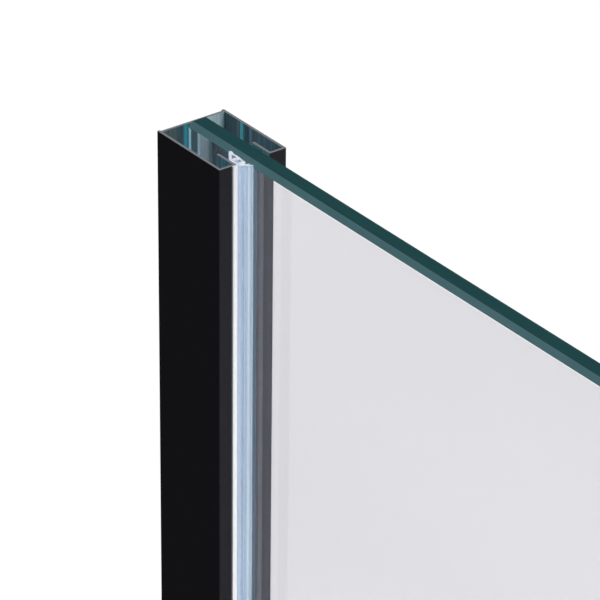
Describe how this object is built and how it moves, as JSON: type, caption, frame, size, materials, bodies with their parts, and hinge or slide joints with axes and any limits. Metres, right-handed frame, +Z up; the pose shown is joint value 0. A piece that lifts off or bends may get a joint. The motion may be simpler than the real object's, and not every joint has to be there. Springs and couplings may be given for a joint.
{
  "type": "walk-in shower screen",
  "caption": "Fixed clear glass walk-in shower screen in a slim black wall channel with a clear wedge gasket, steadied at the top by a swivelling telescopic wall brace.",
  "frame": {"origin": "on the wall plane, at the shower tray, on the centreline of the wall channel", "axes": "+X out from the wall along the glass, +Y across the glass towards the brace side, +Z up"},
  "size_m": [0.992, 0.6575, 2.0381],
  "materials": {
    "black_profile": "glossy black anodised aluminium, cut ends bare",
    "clear_glass": "clear toughened float glass, ground green edges",
    "clear_pvc": "clear soft PVC",
    "black_fitting": "satin black powder coat",
    "stainless": "plain stainless steel",
    "black_oxide": "blackened steel screws",
    "nylon": "natural nylon",
    "black_plastic": "black moulded plastic",
    "block_plastic": "grey-white hard plastic"
  },
  "bodies": {
    "wall_side": {"wall_profile": "black_profile", "wedge_gasket": "clear_pvc"},
    "pane": {"glass_panel": "clear_glass", "setting_block_wall": "block_plastic", "setting_block_free": "block_plastic", "clamp_body": "black_fitting", "clamp_liner": "clear_pvc", "clamp_pressure_plate": "stainless", "clamp_grub_screws": "stainless", "clamp_pivot_pin": "black_oxide", "clamp_pivot_washers": "nylon"},
    "brace_outer": {"clamp_end_fitting": "black_fitting", "clamp_end_bush": "nylon", "clamp_end_screw": "black_oxide", "outer_tube": "black_fitting", "tube_collar": "black_plastic", "collar_lock_screw": "black_oxide"},
    "brace_inner": {"inner_tube": "black_fitting", "inner_tube_glide": "black_plastic", "flange_end_fitting": "black_fitting", "flange_end_bush": "nylon", "flange_end_screw": "black_oxide"},
    "brace_flange": {"wall_flange": "black_fitting", "flange_cover": "black_fitting", "flange_pivot_pin": "black_oxide", "flange_pivot_washers": "nylon"}
  },
  "joints": [
    {"name": "pane_adjust", "type": "slide", "parent": "wall_side", "child": "pane", "axis": [1, 0, 0], "range_m": [0, 0.012]},
    {"name": "brace_swing", "type": "hinge", "parent": "pane", "child": "brace_outer", "pos_m": [0.64, 0.0018, 2.0116], "axis": [0, 0, 1], "range_deg": [-85, 40]},
    {"name": "brace_extend", "type": "slide", "parent": "brace_outer", "child": "brace_inner", "axis": [-0.7071, 0.7071, 0], "range_m": [-0.25, 0.14]},
    {"name": "flange_swivel", "type": "hinge", "parent": "brace_inner", "child": "brace_flange", "pos_m": [0.024, 0.6178, 2.0116], "axis": [0, 0, 1], "range_deg": [-130, 40]}
  ]
}
